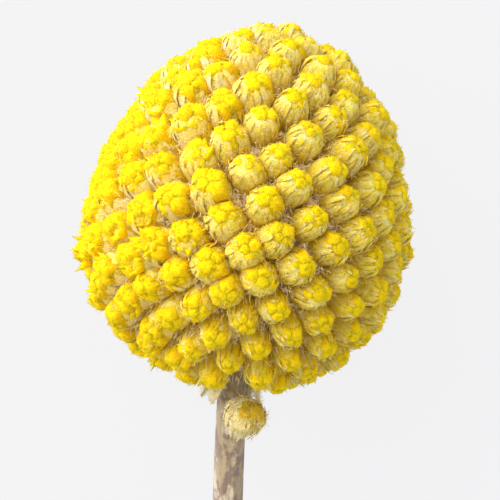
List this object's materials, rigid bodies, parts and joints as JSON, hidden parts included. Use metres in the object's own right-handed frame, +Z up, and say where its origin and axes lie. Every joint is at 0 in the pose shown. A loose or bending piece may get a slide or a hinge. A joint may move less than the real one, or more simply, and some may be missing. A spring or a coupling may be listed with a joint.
{
  "type": "billy buttons stem",
  "caption": "Dried billy button: an egg-shaped yellow flower head of packed small buttons on a slim woolly tan stem, cut and lying down.",
  "frame": {"origin": "on the surface it lies on, midway between the cut end of the stem and the crown of the head, centred on the head's width", "axes": "+Z up, +Y along the stem from the cut end to the head, +X to the right seen from above"},
  "size_m": [0.0269, 0.1601, 0.0264],
  "materials": {
    "florets": "soft matt yellow florets in papery cream bracts",
    "stem": "dry woolly tan stalk, matt",
    "low_florets": "faded golden florets, matt"
  },
  "bodies": {
    "root": {"flower_head": "florets", "stem": "stem", "low_button": "low_florets"}
  },
  "joints": []
}
